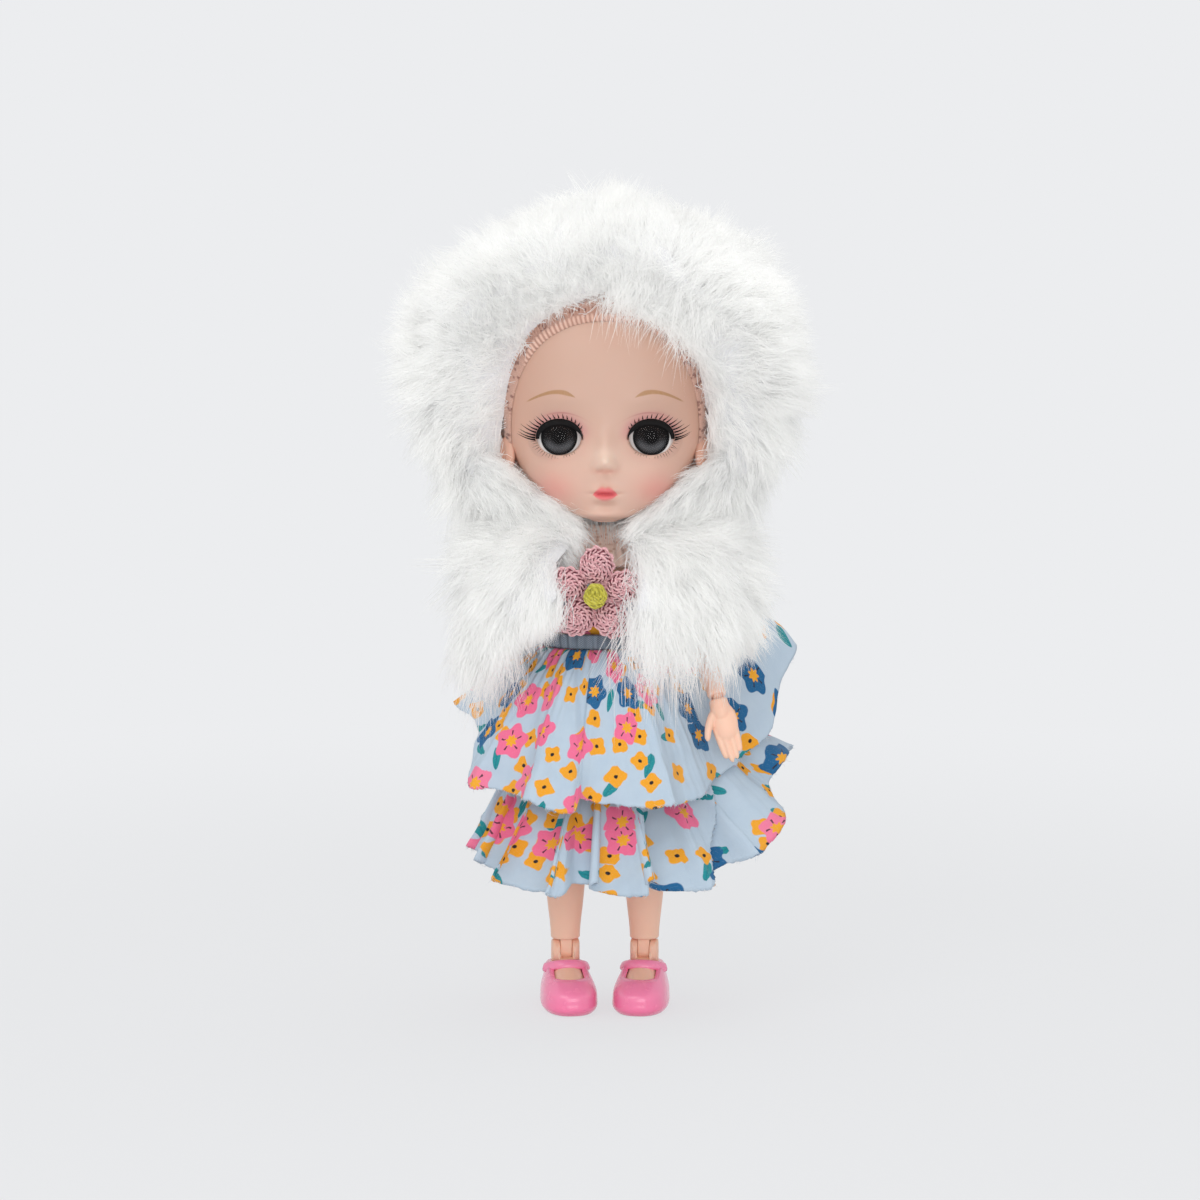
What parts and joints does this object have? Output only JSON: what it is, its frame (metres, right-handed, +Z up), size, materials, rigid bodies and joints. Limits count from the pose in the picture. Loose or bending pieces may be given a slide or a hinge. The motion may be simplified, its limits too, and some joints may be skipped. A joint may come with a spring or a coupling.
{
  "type": "doll keychain",
  "caption": "Small standing jointed doll in a tiered dress with a fur hood and cape, hung from a split key ring by a short chain.",
  "frame": {"origin": "on the surface that the shoes stand on, under the middle of the whole doll's box", "axes": "+Z up from the soles to the crown, the doll faces -Y, and its own left side is +X"},
  "size_m": [0.084, 0.0767, 0.1735],
  "materials": {
    "skin": "satin moulded vinyl",
    "eye_white": "polished acrylic",
    "iris": "printed disc",
    "eye_lens": "clear polished acrylic",
    "lash": "stiff fibre",
    "fur": "long-pile faux fur",
    "knit": "ribbed knit",
    "cotton": "printed plain weave",
    "band": "plain weave",
    "crochet": "crocheted yarn",
    "flower_centre": "knotted yarn",
    "shoe": "glossy moulded vinyl",
    "steel": "nickel plate"
  },
  "bodies": {
    "trunk": {"torso_front": "skin", "torso_back": "skin", "bodice": "cotton", "waistband": "band", "upper_tier": "cotton", "lower_tier": "cotton", "cape_back": "fur", "cape_front_left": "fur", "cape_front_right": "fur", "crochet_flower": "crochet", "flower_centre": "flower_centre"},
    "neck": {"neck_peg": "skin"},
    "head": {"face_shell": "skin", "head_cap": "skin", "neck_socket": "skin", "eye_white_left": "eye_white", "eye_white_right": "eye_white", "eye_iris_left": "iris", "eye_iris_right": "iris", "eye_lens_left": "eye_lens", "eye_lens_right": "eye_lens", "upper_lash_left": "lash", "upper_lash_right": "lash", "hood_lining": "knit", "hood_fur": "fur", "hanging_tab": "knit"},
    "shoulder_l": {"shoulder_ball_left": "skin"},
    "shoulder_r": {"shoulder_ball_right": "skin"},
    "upper_arm_l": {"upper_arm_left": "skin", "elbow_peg_left": "skin"},
    "upper_arm_r": {"upper_arm_right": "skin", "elbow_peg_right": "skin"},
    "forearm_l": {"forearm_left": "skin"},
    "forearm_r": {"forearm_right": "skin"},
    "hand_l": {"hand_left": "skin", "wrist_pin_left": "skin"},
    "hand_r": {"hand_right": "skin", "wrist_pin_right": "skin"},
    "hip_l": {"hip_ball_left": "skin"},
    "hip_r": {"hip_ball_right": "skin"},
    "thigh_l": {"thigh_left": "skin", "knee_peg_left": "skin"},
    "thigh_r": {"thigh_right": "skin", "knee_peg_right": "skin"},
    "shin_l": {"shin_left": "skin"},
    "shin_r": {"shin_right": "skin"},
    "foot_l": {"foot_left": "skin", "ankle_pin_left": "skin", "shoe_left": "shoe"},
    "foot_r": {"foot_right": "skin", "ankle_pin_right": "skin", "shoe_right": "shoe"},
    "link_upper": {"chain_link_upper": "steel"},
    "link_lower": {"chain_link_lower": "steel"},
    "ring": {"key_ring": "steel"}
  },
  "joints": [
    {"name": "neck_turn", "type": "hinge", "parent": "trunk", "child": "neck", "pos_m": [0, -0.0039, 0.1102], "axis": [0, 0, 1], "range_deg": [-60, 60]},
    {"name": "neck_nod", "type": "hinge", "parent": "neck", "child": "head", "pos_m": [0, -0.0039, 0.1102], "axis": [1, 0, 0], "range_deg": [-10, 8]},
    {"name": "shoulder_swing_l", "type": "hinge", "parent": "trunk", "child": "shoulder_l", "pos_m": [0.0168, -0.0053, 0.097], "axis": [-1, 0, 0], "range_deg": [-3, 40], "deforming": ["cape_front_left"]},
    {"name": "shoulder_swing_r", "type": "hinge", "parent": "trunk", "child": "shoulder_r", "pos_m": [-0.0168, -0.0053, 0.097], "axis": [-1, 0, 0], "range_deg": [-10, 9], "deforming": ["cape_front_right"]},
    {"name": "shoulder_lift_l", "type": "hinge", "parent": "shoulder_l", "child": "upper_arm_l", "pos_m": [0.0168, -0.0053, 0.097], "axis": [0, -1, 0], "range_deg": [0, 25]},
    {"name": "shoulder_lift_r", "type": "hinge", "parent": "shoulder_r", "child": "upper_arm_r", "pos_m": [-0.0168, -0.0053, 0.097], "axis": [0, 1, 0], "range_deg": [0, 25]},
    {"name": "elbow_bend_l", "type": "hinge", "parent": "upper_arm_l", "child": "forearm_l", "pos_m": [0.02052, -0.00852, 0.08041], "axis": [-1, 0, 0], "range_deg": [0, 50]},
    {"name": "elbow_bend_r", "type": "hinge", "parent": "upper_arm_r", "child": "forearm_r", "pos_m": [-0.0212, 0.0021, 0.082], "axis": [-1, 0, 0], "range_deg": [0, 15]},
    {"name": "wrist_turn_l", "type": "hinge", "parent": "forearm_l", "child": "hand_l", "pos_m": [0.02344, -0.01592, 0.06853], "axis": [0.2043, -0.5176, -0.8309], "range_deg": [-60, 60]},
    {"name": "wrist_turn_r", "type": "hinge", "parent": "forearm_r", "child": "hand_r", "pos_m": [-0.0232, 0.0077, 0.06899], "axis": [-0.1399, 0.3917, -0.9094], "range_deg": [-60, 60]},
    {"name": "hip_swing_l", "type": "hinge", "parent": "trunk", "child": "hip_l", "pos_m": [0.0085, -0.0008, 0.0625], "axis": [-1, 0, 0], "range_deg": [-18, 22]},
    {"name": "hip_swing_r", "type": "hinge", "parent": "trunk", "child": "hip_r", "pos_m": [-0.0085, -0.0008, 0.0625], "axis": [-1, 0, 0], "range_deg": [-18, 22]},
    {"name": "hip_spread_l", "type": "hinge", "parent": "hip_l", "child": "thigh_l", "pos_m": [0.0085, -0.0008, 0.0625], "axis": [0, -1, 0], "range_deg": [0, 12]},
    {"name": "hip_spread_r", "type": "hinge", "parent": "hip_r", "child": "thigh_r", "pos_m": [-0.0085, -0.0008, 0.0625], "axis": [0, 1, 0], "range_deg": [0, 12]},
    {"name": "knee_bend_l", "type": "hinge", "parent": "thigh_l", "child": "shin_l", "pos_m": [0.0085, -0.0008, 0.0365], "axis": [1, 0, 0], "range_deg": [0, 60]},
    {"name": "knee_bend_r", "type": "hinge", "parent": "thigh_r", "child": "shin_r", "pos_m": [-0.0085, -0.0008, 0.0365], "axis": [1, 0, 0], "range_deg": [0, 60]},
    {"name": "ankle_bend_l", "type": "hinge", "parent": "shin_l", "child": "foot_l", "pos_m": [0.0085, -0.0008, 0.0116], "axis": [0.9903, -0.1392, 0], "range_deg": [-15, 20]},
    {"name": "ankle_bend_r", "type": "hinge", "parent": "shin_r", "child": "foot_r", "pos_m": [-0.0085, -0.0008, 0.0116], "axis": [0.9903, 0.1392, 0], "range_deg": [-15, 20]},
    {"name": "chain_swing", "type": "hinge", "parent": "head", "child": "link_upper", "pos_m": [0, 0.0348, 0.15092], "axis": [1, 0, 0], "range_deg": [0, 80]},
    {"name": "link_swing", "type": "hinge", "parent": "link_upper", "child": "link_lower", "pos_m": [0, 0.0348, 0.14252], "axis": [1, 0, 0], "range_deg": [0, 45]},
    {"name": "ring_swing", "type": "hinge", "parent": "link_lower", "child": "ring", "pos_m": [0, 0.0348, 0.13612], "axis": [0, 1, 0], "range_deg": [-45, 45]}
  ]
}
